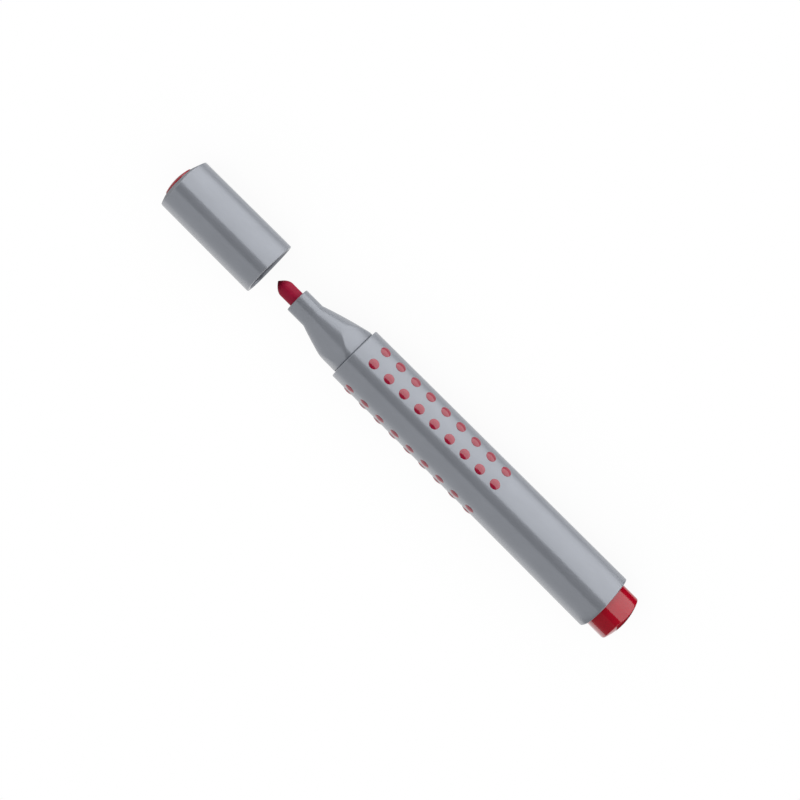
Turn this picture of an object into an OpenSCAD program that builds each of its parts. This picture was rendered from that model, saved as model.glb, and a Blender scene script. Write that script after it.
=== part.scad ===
// Flipchart marker with its cap pulled off and laid in line with the nib.
// The body is a rounded triangle in section: three gently bulged sides and three round corners.
// Lengths are millimetres. +X runs from the end plug to the nib and the cap, +Z is up.
// The marker lies on one broad side, and the origin is under the middle of the whole layout.

/* [Section] */
// Distance from the axis to the middle of a side, at the barrel's front edge
side_h = 7.62; // [7.2:0.01:8.4]
// Radius of a side's gentle bulge
side_r = 20.3; // [17:0.1:26]
// Radius of the three round corners
corner_r = 5.5; // [5:0.1:6]

/* [Barrel] */
// Length of the barrel from its front edge to its rear edge
barrel_length = 95.4; // [85:0.1:120]
// Wall of the barrel at its front edge
barrel_wall = 1.25; // [1.2:0.05:1.6]
// How much further out the surface lies at the rear edge than at the front edge
barrel_draft = 0.35; // [0.1:0.05:0.6]
// Radius of the rounded outer edges of the barrel and of the cap's mouth
edge_round = 0.3; // [0.1:0.05:0.4]
// Height of the three ribs inside the barrel that centre the ink reservoir
rib_h = 0.7; // [0.4:0.05:1.2]
// Width of those ribs
rib_w = 1.2; // [0.8:0.1:1.8]
// Chamfer inside the rear edge, where the end plug is pressed in
lip = 0.35; // [0.1:0.05:0.5]

/* [Grip dots] */
// Diameter of a grip dot
dot_d = 3.1; // [2:0.05:3.6]
// Height of a dot's dome above the barrel
dot_out = 0.35; // [0.15:0.05:0.5]
// Distance between the dots of a row
dot_pitch = 5.69; // [4.5:0.01:6.5]
// Number of dots in a row
dots_per_row = 9; // [3:1:10]
// Distance from the barrel's front edge to the middle of the first dot
dot_first = 5.9; // [5.4:0.1:9]
// Distance between the two rows on one side
row_gap = 5.74; // [5:0.01:7]
// Width of the web that joins a row's dots inside the barrel
web_w = 1.6; // [1.2:0.1:2]
// Thickness of that web
web_t = 0.5; // [0.3:0.05:0.7]

/* [Nib holder] */
// How far the triangular collar lies inside the barrel's front outline
collar_inset = 1.26; // [1.2:0.01:1.35]
// Draft of the collar over the length of the holder
collar_draft = 0.12; // [0:0.01:0.2]
// Length from the barrel's front edge to the round sleeve
nose_length = 15; // [12:0.1:18]
// How much the nose is bowed outwards between its two ends
nose_bulge = 0.22; // [0:0.01:0.35]
// Diameter of the round sleeve that grips the nib
sleeve_d = 7.4; // [6.8:0.05:8]
// Length of the sleeve
sleeve_length = 6.1; // [5:0.1:8]
// Chamfer at the sleeve's front edge
sleeve_chamfer = 0.25; // [0.1:0.05:0.4]
// Length of the holder's spigot inside the barrel
spigot_length = 10; // [7:0.5:14]
// Wall of the spigot
spigot_wall = 1.1; // [0.9:0.05:1.4]
// Width of the three air grooves beside the nib
vent_w = 0.6; // [0.3:0.05:0.8]
// Depth of those grooves
vent_t = 0.35; // [0.2:0.05:0.5]

/* [Nib] */
// Diameter of the fibre nib
nib_d = 4.7; // [4:0.05:5]
// Length of the nib in front of the sleeve
nib_out = 7.21; // [5:0.01:9]
// Length of the rounded writing tip
nib_tip = 3.3; // [2.5:0.1:4]
// Length of the nib's rear end inside the ink reservoir
nib_in = 6; // [4:0.5:10]

/* [Ink reservoir] */
// Thickness of the plastic film round the fibre core
film_t = 0.15; // [0.1:0.05:0.3]
// Length of bare fibre core at each end of the film
core_bare = 1; // [0.5:0.1:3]

/* [End plug] */
// Length of the end plug behind the barrel, up to its domed end
plug_out = 7.7; // [5:0.1:10]
// Length of the end plug inside the barrel
plug_in = 8; // [6:0.5:12]
// Radius of the plug's domed end
plug_dome_r = 17; // [14:0.5:30]
// Wall of the end plug
plug_wall = 1.5; // [1:0.1:1.8]
// Thickness of the two crossed fins inside the plug
fin_t = 1; // [0.8:0.1:1.6]

/* [Cap] */
// Air between the nib's tip and the end of the sealing cup, with the cap on
cap_room = 3.5; // [1:0.1:6]
// Distance from the nib's tip to the cap's mouth, with the cap off
cap_off = 3.95; // [2:0.01:20]
// How much closer to the axis the cap's surface lies at its closed end
cap_draft = 0.14; // [0:0.01:0.25]
// Slope of the closed end's conical crown, in degrees
crown_angle = 21; // [12:1:28]
// Thickness of the crown
crown_wall = 1.4; // [1:0.1:1.6]
// Diameter of the coloured disc in the crown
disc_d = 9.4; // [9:0.1:10]
// Radius of the disc's dome
disc_dome_r = 15; // [10:0.5:30]
// Thickness of the disc down to its rim
disc_wall = 2.24; // [1.6:0.01:3]
// Diameter of the flange that holds the insert behind the crown
flange_d = 11.8; // [11.2:0.1:12]
// Thickness of that flange
flange_t = 1.1; // [0.8:0.1:1.6]
// Width of the three ribs inside the cap that carry the insert
cap_rib_w = 1.2; // [0.8:0.1:2]
// Distance from the start of the sleeve to the mouth of the sealing cup, with the cap on
cup_gap = 1.2; // [0.6:0.1:2]

/* [Fits] */
// Gap round the holder's spigot and the end plug in the barrel
fit_clear = 0.04; // [0.02:0.01:0.06]
// Gap round a dot and its web in the barrel wall
dot_clear = 0.02; // [0.01:0.01:0.05]
// Gap between the collar and the inside of the cap
cap_clear = 0.08; // [0.05:0.01:0.1]
// Gap between the sleeve and the sealing cup
seal_clear = 0.05; // [0.02:0.01:0.1]
// Gap round the nib, the reservoir and the cap's insert
seat_clear = 0.03; // [0.02:0.01:0.06]
// Height of the snap beads on the spigot and on the end plug
bead_h = 0.15; // [0.1:0.01:0.2]
// Distance from a barrel edge to the middle of its snap bead
bead_at = 2.6; // [2.4:0.1:3]

/* [Hidden] */

GREY = [0.66, 0.67, 0.70];
RED = [0.75, 0.08, 0.12];
CRIMSON = [0.62, 0.04, 0.17];
PALE = [0.86, 0.62, 0.64];
CLEAR = [0.92, 0.92, 0.94];

// Smoothness of round pieces, and how many steps an arc of the section or of an edge has
round_fn = 64;
corner_n = 12;
side_n = 6;
edge_n = 3;
arc_n = 10;
// Overlap of cuts past a face, so that no thin skin is left
past = 1;

// Directions of the sides, as angles in the plane across the marker from +Y towards +Z
LEFT = 30;
RIGHT = 150;
UNDER = 270;
TOP_CORNER = 90;

// The side arcs and the corner arcs meet in tangents, which places the corner's centre
side_e = side_r - side_h;
corner_e = (sqrt(4 * pow(side_r - corner_r, 2) - 3 * pow(side_e, 2)) - side_e) / 2;
corner_h = corner_e + corner_r;
join_angle = atan2(side_e * sin(60), corner_e + side_e * cos(60));

// Stations along the axis, measured from the barrel's front edge
rear_x = -barrel_length;
plug_end_x = rear_x - plug_out;
sleeve_front_x = nose_length + sleeve_length;
nib_tip_x = sleeve_front_x + nib_out;
mouth_x = nib_tip_x + cap_off;
core_front_x = -spigot_length - seat_clear;
core_rear_x = rear_x + plug_in + seat_clear;

// Radii and wall places that follow from the section and the fits
dot_r = dot_d / 2;
dome_r = (pow(dot_r, 2) + pow(dot_out, 2)) / (2 * dot_out);
row_angle = asin(row_gap / 2 / side_r);
film_r = side_h - barrel_wall - rib_h - seat_clear;
core_r = film_r - film_t - dot_clear;
sleeve_r = sleeve_d / 2;
nib_r = nib_d / 2;
nib_bore_r = nib_r + seat_clear;
chamber_r = side_h - barrel_wall - fit_clear - spigot_wall;
nose_r = corner_h - collar_inset + past / 8;
disc_r = disc_d / 2;
cup_r = sleeve_r + seal_clear;

// Measures of the cap, from its mouth towards its closed end
disc_sag = disc_dome_r - sqrt(pow(disc_dome_r, 2) - pow(disc_r, 2));
cup_end = nib_tip_x + cap_room;
disc_rim = cup_end + disc_wall;
cap_length = disc_rim + disc_sag;
cup_start = nose_length + cup_gap;
cap_inset = collar_inset - cap_clear;
crown_drop = crown_wall / cos(crown_angle);
flange_top = disc_rim - crown_drop - (flange_d / 2 - disc_r) * tan(crown_angle) - seat_clear;
flange_low = flange_top - flange_t;

// The lowest points are the barrel's rear edge and the dots of the under side
dot_last = dot_first + (dots_per_row - 1) * dot_pitch;
dot_low = (side_r + draft_at(-dot_last) + dot_out - dome_r) * cos(row_angle) + dome_r - side_e;
axis_z = max(side_h + barrel_draft, dot_low);
front_x = (mouth_x + cap_length + plug_end_x) / -2;

// How far the barrel's surface lies outside the front outline, at a place along the axis
function draft_at(x) = barrel_draft * -x / barrel_length;

// A point of an arc across the marker: its centre lies e from the axis in direction a
function arc_point(e, a, r, t) = [e * cos(a) + r * cos(t), e * sin(a) + r * sin(t)];

// The outline across the marker, moved outwards by d
function outline(d) = [for (i = [0:2]) let (a = TOP_CORNER + 120 * i) each concat(
    [for (k = [0:corner_n])
        arc_point(corner_e, a, corner_r + d, a + join_angle * (2 * k / corner_n - 1))],
    [for (k = [1:side_n - 1])
        arc_point(-side_e, a + 60, side_r + d,
            a + join_angle + (120 - 2 * join_angle) * k / side_n)])];

// Stations [x, d] of an edge that is rounded by r, at the low end and at the high end of x
function low_edge(x, d, r) = [for (k = [0:edge_n]) let (t = 90 * k / edge_n)
    [x + r * (1 - cos(t)), d - r * (1 - sin(t))]];
function high_edge(x, d, r) = [for (k = [0:edge_n]) let (t = 90 * k / edge_n)
    [x - r * (1 - sin(t)), d - r * (1 - cos(t))]];

// Stations of a snap bead of height h round x, on a wall at d
function bead(x, d, h) = [[x - 3 * h - h, d], [x - h, d + h], [x + h, d + h], [x + 3 * h + h, d]];

// Points of a shallow arc from p to q that bows to the left of the way by s
function bow(p, q, s) = [for (k = [0:arc_n]) let (t = k / arc_n, b = 4 * s * t * (1 - t) / norm(q - p))
    [p[0] + (q[0] - p[0]) * t - (q[1] - p[1]) * b, p[1] + (q[1] - p[1]) * t + (q[0] - p[0]) * b]];

// A solid with the outline moved outwards by d at each station [x, d], x rising
module skin(stations) {
    n = len(outline(0));
    last = (len(stations) - 1) * n;
    polyhedron(
        points = [for (s = stations) each [for (p = outline(s[1])) [s[0], p[0], p[1]]]],
        faces = concat(
            [[for (i = [0:n - 1]) i]],
            [for (j = [0:len(stations) - 2], i = [0:n - 1]) let (a = j * n + i, b = j * n + (i + 1) % n)
                [a, a + n, b + n, b]],
            [[for (i = [0:n - 1]) last + n - 1 - i]]));
}

// A turned solid on the marker's axis: the profile holds [radius, x] points
module turned(profile) {
    rotate([0, 90, 0]) rotate_extrude($fn = round_fn) polygon(profile);
}

// A round bar on the marker's axis from x0 to x1
module bar(x0, x1, r) {
    translate([x0, 0, 0]) rotate([0, 90, 0]) cylinder(h = x1 - x0, r = r, $fn = round_fn);
}

// Puts a child that is drawn round the axis, from the barrel's front edge, at its place
module placed() {
    translate([front_x, 0, axis_z]) children();
}

// Turns a child so that its +Z points out of the side in direction a
module facing(a) {
    rotate([a - 90, 0, 0]) children();
}

// Turns a child about the centre line of a side's arc, so that its +Z is the surface's normal
module on_row(a, t) {
    facing(a) translate([0, 0, -side_e]) rotate([t, 0, 0]) children();
}

// The studs and the web of one row, grown by g, with the studs' tops left square
module row_solid(g, top, web_low) {
    for (i = [0:dots_per_row - 1])
        translate([-dot_first - i * dot_pitch, 0, side_r - barrel_wall - web_low])
            cylinder(h = barrel_wall + web_low + top, r = dot_r + g, $fn = round_fn / 2);
    translate([-dot_last, -web_w / 2 - g, side_r - barrel_wall - web_low])
        cube([dot_last - dot_first, web_w + 2 * g, web_t + web_low + g]);
}

// One dot: a stud through the barrel wall under a shallow dome
module dot(x) {
    rise = side_r + draft_at(x);
    intersection() {
        translate([x, 0, side_r - barrel_wall])
            cylinder(h = rise - side_r + barrel_wall + dot_out + past, r = dot_r, $fn = round_fn / 2);
        translate([x, 0, rise + dot_out - dome_r]) sphere(r = dome_r, $fn = round_fn);
    }
}

// One row of dots, joined by a web that lies in a groove inside the barrel wall
module grip_strip(a, t) {
    color(RED) placed() on_row(a, t) {
        for (i = [0:dots_per_row - 1]) dot(-dot_first - i * dot_pitch);
        translate([-dot_last, -web_w / 2, side_r - barrel_wall])
            cube([dot_last - dot_first, web_w, web_t]);
    }
}

// The hollow of the barrel, with the grooves of the two snap beads and the rear chamfer
module barrel_hollow() {
    g = bead_h + fit_clear;
    skin(concat(
        [[rear_x - past, lip + past - barrel_wall], [rear_x + lip, -barrel_wall]],
        bead(rear_x + bead_at, -barrel_wall, g),
        bead(-bead_at, -barrel_wall, g),
        [[past, -barrel_wall]]));
}

// A long rib inside the barrel, from the side wall in to the ink reservoir
module barrel_rib(a) {
    start = rear_x + plug_in + past;
    facing(a) translate([start, -rib_w / 2, side_h - barrel_wall - rib_h])
        cube([-spigot_length - past - start, rib_w, rib_h + barrel_wall / 2]);
}

// The barrel: a drafted three-sided tube with the holes of the grip dots
module barrel() {
    color(GREY) placed() {
        difference() {
            skin(concat(low_edge(rear_x, barrel_draft, edge_round), high_edge(0, 0, edge_round)));
            barrel_hollow();
            for (a = [LEFT, RIGHT, UNDER], t = [-row_angle, row_angle])
                on_row(a, t) row_solid(dot_clear, barrel_draft + past, past);
        }
        for (a = [LEFT, RIGHT, UNDER]) barrel_rib(a);
    }
}

// The holder's nose: a bowed cone that runs out into the triangular collar, and the round sleeve
module holder_front() {
    intersection() {
        turned(concat([[0, 0]], bow([nose_r, 0], [sleeve_r, nose_length], -nose_bulge),
            [[sleeve_r, sleeve_front_x - sleeve_chamfer],
             [sleeve_r - sleeve_chamfer, sleeve_front_x], [0, sleeve_front_x]]));
        skin([[0, -collar_inset], [sleeve_front_x + past, -collar_inset - collar_draft]]);
    }
}

// The nib holder: nose and sleeve in front, a spigot with a snap bead inside the barrel
module nib_holder() {
    d = -barrel_wall - fit_clear;
    color(GREY) placed() difference() {
        union() {
            holder_front();
            skin(concat([[-spigot_length, d - bead_h], [bead_h * 2 - spigot_length, d]],
                bead(-bead_at, d, bead_h), [[past / 2, d]]));
        }
        turned([[0, -spigot_length - past], [chamber_r, -spigot_length - past], [chamber_r, past],
            [nib_bore_r, nose_length * 2 / 3], [0, nose_length * 2 / 3]]);
        bar(nose_length / 2, sleeve_front_x + past, nib_bore_r);
        for (a = [LEFT, RIGHT, UNDER]) facing(a)
            translate([nose_length / 2, -vent_w / 2, 0])
                cube([sleeve_front_x + past - nose_length / 2, vent_w, nib_bore_r + vent_t]);
    }
}

// The nib's outline, grown by g: a cone behind, a round rod, and a parabola to the writing tip
function nib_profile(g, front_x) = concat(
    [[0, core_front_x - nib_in - g], [nib_r / 2 + g, core_front_x - nib_in - g],
     [nib_r + g, core_front_x - nib_in + nib_r]],
    [for (k = [0:arc_n]) let (t = k / arc_n)
        [(nib_r + g) * (1 - t * t), front_x - nib_tip * (1 - t)]]);

// The fibre nib, from its rear end in the reservoir to the writing tip
module nib() {
    color(CRIMSON) placed() turned(nib_profile(0, nib_tip_x));
}

// The fibre core that holds the ink, with the socket that the nib's rear end makes
module ink_reservoir() {
    color(PALE) placed() difference() {
        bar(core_rear_x, core_front_x, core_r);
        turned(nib_profile(seat_clear, core_front_x + nib_tip + past));
    }
}

// The thin film round the fibre core
module reservoir_film() {
    color(CLEAR) placed() difference() {
        bar(core_rear_x + core_bare, core_front_x - core_bare, film_r);
        bar(core_rear_x, core_front_x, core_r + dot_clear);
    }
}

// The end plug: a three-sided cup with a domed end, pressed into the barrel's rear
module end_plug() {
    d = -barrel_wall - fit_clear;
    inner_x = rear_x + plug_in;
    bore_r = side_h + d - plug_wall;
    color(RED) placed() intersection() {
        difference() {
            skin(concat([[plug_end_x - past, d]], bead(rear_x + bead_at, d, bead_h),
                [[inner_x - bead_h * 2, d], [inner_x, d - bead_h]]));
            difference() {
                bar(plug_end_x + 2 * plug_wall, inner_x + past, bore_r);
                for (a = [TOP_CORNER, 0]) facing(a)
                    translate([plug_end_x, -fin_t / 2, -side_h])
                        cube([plug_in + plug_out, fin_t, 2 * side_h]);
            }
        }
        translate([plug_end_x + plug_dome_r, 0, 0]) sphere(r = plug_dome_r, $fn = round_fn);
    }
}

// The space under a conical crown whose rim of radius disc_r lies at x
module under_crown(x) {
    wide = 2 * side_h;
    turned([[0, -past], [wide, -past], [wide, x - (wide - disc_r) * tan(crown_angle)],
        [disc_r, x], [0, x]]);
}

// The cap's shell: a drafted three-sided cup with a conical crown round the coloured disc
module cap_shell() {
    deep = cap_draft * disc_rim / cap_length;
    color(GREY) placed() translate([mouth_x, 0, 0]) {
        difference() {
            intersection() {
                skin(concat(low_edge(0, 0, edge_round), [[cap_length, -cap_draft]]));
                under_crown(disc_rim);
            }
            intersection() {
                skin([[-past, lip + past - cap_inset], [lip, -cap_inset], [disc_rim, -cap_inset - deep]]);
                under_crown(disc_rim - crown_drop);
            }
            bar(0, cap_length, disc_r + seat_clear);
        }
        for (a = [LEFT, RIGHT, UNDER]) cap_rib(a);
    }
}

// A rib inside the cap, from the side wall in to the sealing cup
module cap_rib(a) {
    low = disc_r + seat_clear;
    facing(a) translate([cup_start + past, -cap_rib_w / 2, low])
        cube([flange_low - seat_clear - cup_start - past, cap_rib_w, side_h - cap_inset / 2 - low]);
}

// The coloured insert: a sealing cup for the sleeve, a flange, and the domed disc in the crown
module cap_insert() {
    slope = tan(crown_angle);
    flange_r = flange_d / 2;
    mouth_flare = seal_clear * 6;
    color(RED) placed() translate([mouth_x, 0, 0]) turned(concat(
        [[cup_r + mouth_flare, cup_start], [disc_r, cup_start], [disc_r, flange_low],
         [flange_r, flange_low], [flange_r, flange_top],
         [disc_r, flange_top + (flange_r - disc_r) * slope], [disc_r, disc_rim]],
        [for (k = [1:arc_n]) let (r = disc_r * (1 - k / arc_n))
            [r, cap_length - disc_dome_r + sqrt(pow(disc_dome_r, 2) - pow(r, 2))]],
        [[0, cup_end], [cup_r, cup_end], [cup_r, cup_start + mouth_flare]]));
}

barrel();
grip_strip(RIGHT, -row_angle);  // grip_strip_right_upper
grip_strip(RIGHT, row_angle);  // grip_strip_right_lower
grip_strip(LEFT, row_angle);  // grip_strip_left_upper
grip_strip(LEFT, -row_angle);  // grip_strip_left_lower
grip_strip(UNDER, -row_angle);  // grip_strip_under_right
grip_strip(UNDER, row_angle);  // grip_strip_under_left
nib_holder();
nib();
ink_reservoir();
reservoir_film();
end_plug();
cap_shell();
cap_insert();
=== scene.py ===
# %% [markdown]
# A flipchart marker with its cap pulled off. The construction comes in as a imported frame: real
# solids at their real size, already in place. This lesson gives each solid that shows the skin
# that the eye expects, with surfaces worked out as arrays, and then the finish of each material.

import math

import bpy
import numpy as np
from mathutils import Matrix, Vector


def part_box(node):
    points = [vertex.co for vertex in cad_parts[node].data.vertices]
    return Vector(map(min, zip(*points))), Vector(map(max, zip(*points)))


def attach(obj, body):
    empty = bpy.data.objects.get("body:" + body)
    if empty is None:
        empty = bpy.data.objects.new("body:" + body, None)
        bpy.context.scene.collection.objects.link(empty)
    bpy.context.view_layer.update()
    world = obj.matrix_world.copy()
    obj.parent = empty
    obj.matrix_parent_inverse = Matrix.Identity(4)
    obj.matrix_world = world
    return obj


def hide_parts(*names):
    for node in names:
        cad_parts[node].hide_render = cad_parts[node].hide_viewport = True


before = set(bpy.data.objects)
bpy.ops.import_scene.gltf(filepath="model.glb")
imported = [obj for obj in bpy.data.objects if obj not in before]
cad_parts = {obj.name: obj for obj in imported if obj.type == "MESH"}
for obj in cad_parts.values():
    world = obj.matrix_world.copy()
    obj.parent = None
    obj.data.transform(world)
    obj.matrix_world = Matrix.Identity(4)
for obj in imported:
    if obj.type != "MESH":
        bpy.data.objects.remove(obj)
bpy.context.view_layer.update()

# %% [markdown]
# Every place along the marker is read from the frame, so that a skin lies exactly where its solid
# lies. The marker's axis is the nib's, and the stations are the ends of the solids along X.

# %% Stations along the axis
MM = 0.001
MICRON = 0.001 * MM


def span(node):
    """Lowest and highest x of a solid, and its whole box as an array."""
    corners = np.array([list(corner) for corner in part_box(node)])
    return corners[0, 0], corners[1, 0], corners


NIB_BACK, NIB_TIP, nib_box = span("nib")
REAR, FRONT, _ = span("barrel")
SPIGOT_BACK, SLEEVE_FRONT, _ = span("nib_holder")
PLUG_END, PLUG_FRONT, _ = span("end_plug")
MOUTH, DISC_RIM, _ = span("cap_shell")
CUP_START, CAP_END, insert_box = span("cap_insert")
AXIS_Z = nib_box[:, 2].mean()
NIB_R = (nib_box[1, 1] - nib_box[0, 1]) / 2
print("axis at", round(AXIS_Z, 5), "barrel", round(REAR, 4), "to", round(FRONT, 4))

# %% [markdown]
# The section is a rounded triangle. Three wide arcs make the gently bulged sides and three small
# arcs make the corners; they meet in tangents, so a point of the outline is found from the
# direction of its normal alone. Moving the outline outwards then only adds a multiple of the
# normal, which makes drafts, walls and rounded edges one and the same sum. A name that ends in
# _H is a distance from the axis, in _R a radius, and in _E the distance from the axis to the
# centre of an arc. A curve drawn by hand would look alike, but its walls would need drawing twice.

# %% The rounded triangle
SIDE_H = 7.62 * MM
SIDE_R = 20.3 * MM
CORNER_R = 5.5 * MM
SIDE_E = SIDE_R - SIDE_H
CORNER_E = (math.sqrt(4 * (SIDE_R - CORNER_R) ** 2 - 3 * SIDE_E**2) - SIDE_E) / 2
CORNER_H = CORNER_E + CORNER_R
JOIN = math.atan2(SIDE_E * math.sin(math.pi / 3), CORNER_E + SIDE_E / 2)
THIRD = 2 * math.pi / 3
TOP = math.pi / 2
LEFT, RIGHT, UNDER = TOP - THIRD / 2, TOP + THIRD / 2, TOP + 3 * THIRD / 2


def unit(angle):
    """Unit vectors across the marker: cosine along Y and sine along Z."""
    return np.stack([np.cos(angle), np.sin(angle)], axis=-1)


def outline(corner_steps=30, side_steps=20):
    """Base points and normals of the rounded triangle, by the direction of the normal.

    Near a corner at angle a a point is CORNER_E * u(a) + CORNER_R * n, and along the side
    that follows it is -SIDE_E * u(a + 60 degrees) + SIDE_R * n, with n the unit normal.
    """
    points, normals = [], []
    for turn in range(3):
        a = TOP + turn * THIRD
        n = unit(np.linspace(a - JOIN, a + JOIN, corner_steps, endpoint=False))
        points.append(CORNER_E * unit(a) + CORNER_R * n)
        normals.append(n)
        n = unit(np.linspace(a + JOIN, a + THIRD - JOIN, side_steps, endpoint=False))
        points.append(-SIDE_E * unit(a + THIRD / 2) + SIDE_R * n)
        normals.append(n)
    return np.concatenate(points), np.concatenate(normals)


BASE, NORMAL = outline()
print("outline:", len(BASE), "points, corner", round(CORNER_H / MM, 2), "mm from the axis")

# %% [markdown]
# A piece is a stack of rings. Each ring is one closed line of points, and quads join every ring
# to the next. A tube closes on itself, from its outer wall round the edge to its inner wall and
# back, while a solid piece ends in a fan of triangles at each end. The signed volume says whether
# the faces look outwards, and turns them round if they don't.

# %% From rings to a closed mesh
INNERMOST = 0.02  # share of the radius at which a dome's first ring lies, round its fan


def ring_faces(rings, count, closed):
    """Quads between neighbouring rings; fans to two extra centre points if it isn't closed."""
    steps = rings if closed else rings - 1
    j, i = np.meshgrid(np.arange(steps), np.arange(count), indexing="ij")
    nxt, side = (j + 1) % rings * count, (i + 1) % count
    quads = np.stack([j * count + i, nxt + i, nxt + side, j * count + side], axis=-1).reshape(-1, 4)
    if closed:
        return quads, np.zeros((0, 3), int)
    i = np.arange(count)
    first = np.stack([np.full(count, rings * count), i, (i + 1) % count], axis=-1)
    last = np.stack([np.full(count, rings * count + 1), (i + 1) % count, i], axis=-1)
    last[:, 1:] += (rings - 1) * count
    return quads, np.concatenate([first, last])


def volume(points, quads, triangles):
    """Signed volume: the sum over the faces of a . (b x c) / 6."""
    fans = np.concatenate([quads[:, [0, 1, 2]], quads[:, [0, 2, 3]], triangles])
    a, b, c = (points[fans[:, k]] for k in range(3))
    return float(np.einsum("ij,ij->i", a, np.cross(b, c)).sum() / 6)


def stacked(rings, closed=False):
    """Points and faces of a stack of rings, given as an array (ring, point, xyz)."""
    rings = np.asarray(rings, float)
    points = rings.reshape(-1, 3)
    quads, triangles = ring_faces(rings.shape[0], rings.shape[1], closed)
    if not closed:
        points = np.concatenate([points, rings[[0, -1]].mean(axis=1)])
    if volume(points, quads, triangles) < 0:
        quads, triangles = quads[:, ::-1], triangles[:, ::-1]
    return points, quads, triangles


def build(name, *shells):
    """One smooth object from one or more closed shells."""
    points, faces, start = [], [], 0
    for shell, quads, triangles in shells:
        points.append(shell)
        faces += (quads + start).tolist() + (triangles + start).tolist()
        start += len(shell)
    mesh = bpy.data.meshes.new(name)
    mesh.from_pydata(np.concatenate(points), [], faces)
    mesh.polygons.foreach_set("use_smooth", np.ones(len(faces), bool))
    mesh.update()
    piece = bpy.data.objects.new(name, mesh)
    bpy.context.scene.collection.objects.link(piece)
    print(name, len(mesh.vertices), "points", len(faces), "faces")
    return piece


# %% [markdown]
# Two helpers turn stations into rings. The first carries the rounded triangle along the axis:
# each station says where the ring lies and how far it is moved outwards. The second turns a
# profile about the axis, for everything that is round. A third rounds an edge: a quarter circle
# between a wall and an end face, which the light needs, because no moulded edge is sharp. A bevel
# modifier could round it too, but stations keep each radius where the mould has it.

# %% Rings from stations and from profiles
def at_axis(x, across):
    """Points from x (any shape) and offsets across the axis (same shape, last axis Y and Z)."""
    x = np.broadcast_to(x, across.shape[:-1])
    return np.stack([x, across[..., 0], across[..., 1] + AXIS_Z], axis=-1)


def triangle_rings(stations):
    """Rings of the rounded triangle: x along the axis, base + offset * normal across it."""
    x, offset = np.array(stations, float).T
    across = BASE + offset[:, None, None] * NORMAL
    return at_axis(x[:, None], across)


def round_rings(stations, count=128):
    """Rings of a turned piece: x along the axis, radius * (cos t, sin t) across it."""
    x, radius = np.array(stations, float).T
    turn = unit(np.linspace(0, 2 * math.pi, count, endpoint=False))
    return at_axis(x[:, None], radius[:, None, None] * turn)


def edge(x, offset, r, inward, from_wall, steps=6):
    """Stations of a rounded edge at the end x of a wall at offset.

    A quarter circle of radius r about (x + inward * r, offset - r); inward is the way along X
    from the end face into the piece, and from_wall says that the path comes along the wall.
    """
    t = np.linspace(0, math.pi / 2, steps)
    if not from_wall:
        t = t[::-1]
    return list(zip(x + inward * r * (1 - np.sin(t)), offset - r * (1 - np.cos(t))))


# %% [markdown]
# The barrel is a three-sided tube. It leaves its mould towards the front, so its surface lies
# a third of a millimetre further out at the rear. An extruded outline with a Solidify modifier
# would be quicker, but it has one size all along. Here one path of stations goes along the
# outside, over the rear edge, down the small chamfer that leads the end plug in, and back inside.
# Beside an edge one more ring follows at the distance SUPPORT, so that the flat wall shades flat.

# %% Barrel
WALL = 1.25 * MM
DRAFT = 0.35 * MM
EDGE_R = 0.3 * MM
LIP = 0.35 * MM
SUPPORT = 0.25 * MM


def draft_at(x):
    """How far the barrel's surface lies outside the front outline: it grows evenly to the rear."""
    return DRAFT * (FRONT - x) / (FRONT - REAR)


def between(x0, x1, offset, count=8):
    """Stations along a wall from x0 to x1, with offset as a function of x."""
    x = np.linspace(x0, x1, count)
    return list(zip(x, offset(x)))


barrel_path = edge(FRONT, 0, EDGE_R, -1, from_wall=False)
barrel_path += between(FRONT - EDGE_R - SUPPORT, REAR + EDGE_R + SUPPORT, draft_at, 12)
barrel_path += edge(REAR, DRAFT, EDGE_R, 1, from_wall=True)
barrel_path += [
    (REAR, LIP - WALL + SUPPORT / 2),
    (REAR + SUPPORT / 4, LIP - WALL),
    (REAR + LIP, -WALL),
    (REAR + LIP + SUPPORT, -WALL),
    (FRONT - SUPPORT, -WALL),
    (FRONT, -WALL),
]
barrel = build("barrel_skin", stacked(triangle_rings(barrel_path), closed=True))

# %% [markdown]
# The grip dots stand out of the barrel as shallow domes, two rows on each side. A dot is a turned
# stud: a sphere's cap on top, a small round at its edge, and a shank that goes down through the
# wall. A web inside the wall joins the studs of a row, as in a two-colour moulding. Flattened
# spheres pushed into the wall would do from afar, but they lack the small round at the edge that
# catches the light, and nothing would tie a row together.

# %% Grip dots
DOT_R = 1.55 * MM
DOT_OUT = 0.35 * MM
DOT_PITCH = 5.69 * MM
DOT_FIRST = 5.9 * MM
DOTS_PER_ROW = 9
ROW_GAP = 5.74 * MM
ROW_ANGLE = math.asin(ROW_GAP / 2 / SIDE_R)
WEB_W = 1.6 * MM
WEB_T = 0.5 * MM
DOT_EDGE = 0.1 * MM
FOOT_LIFT = 0.1 * MM


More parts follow.
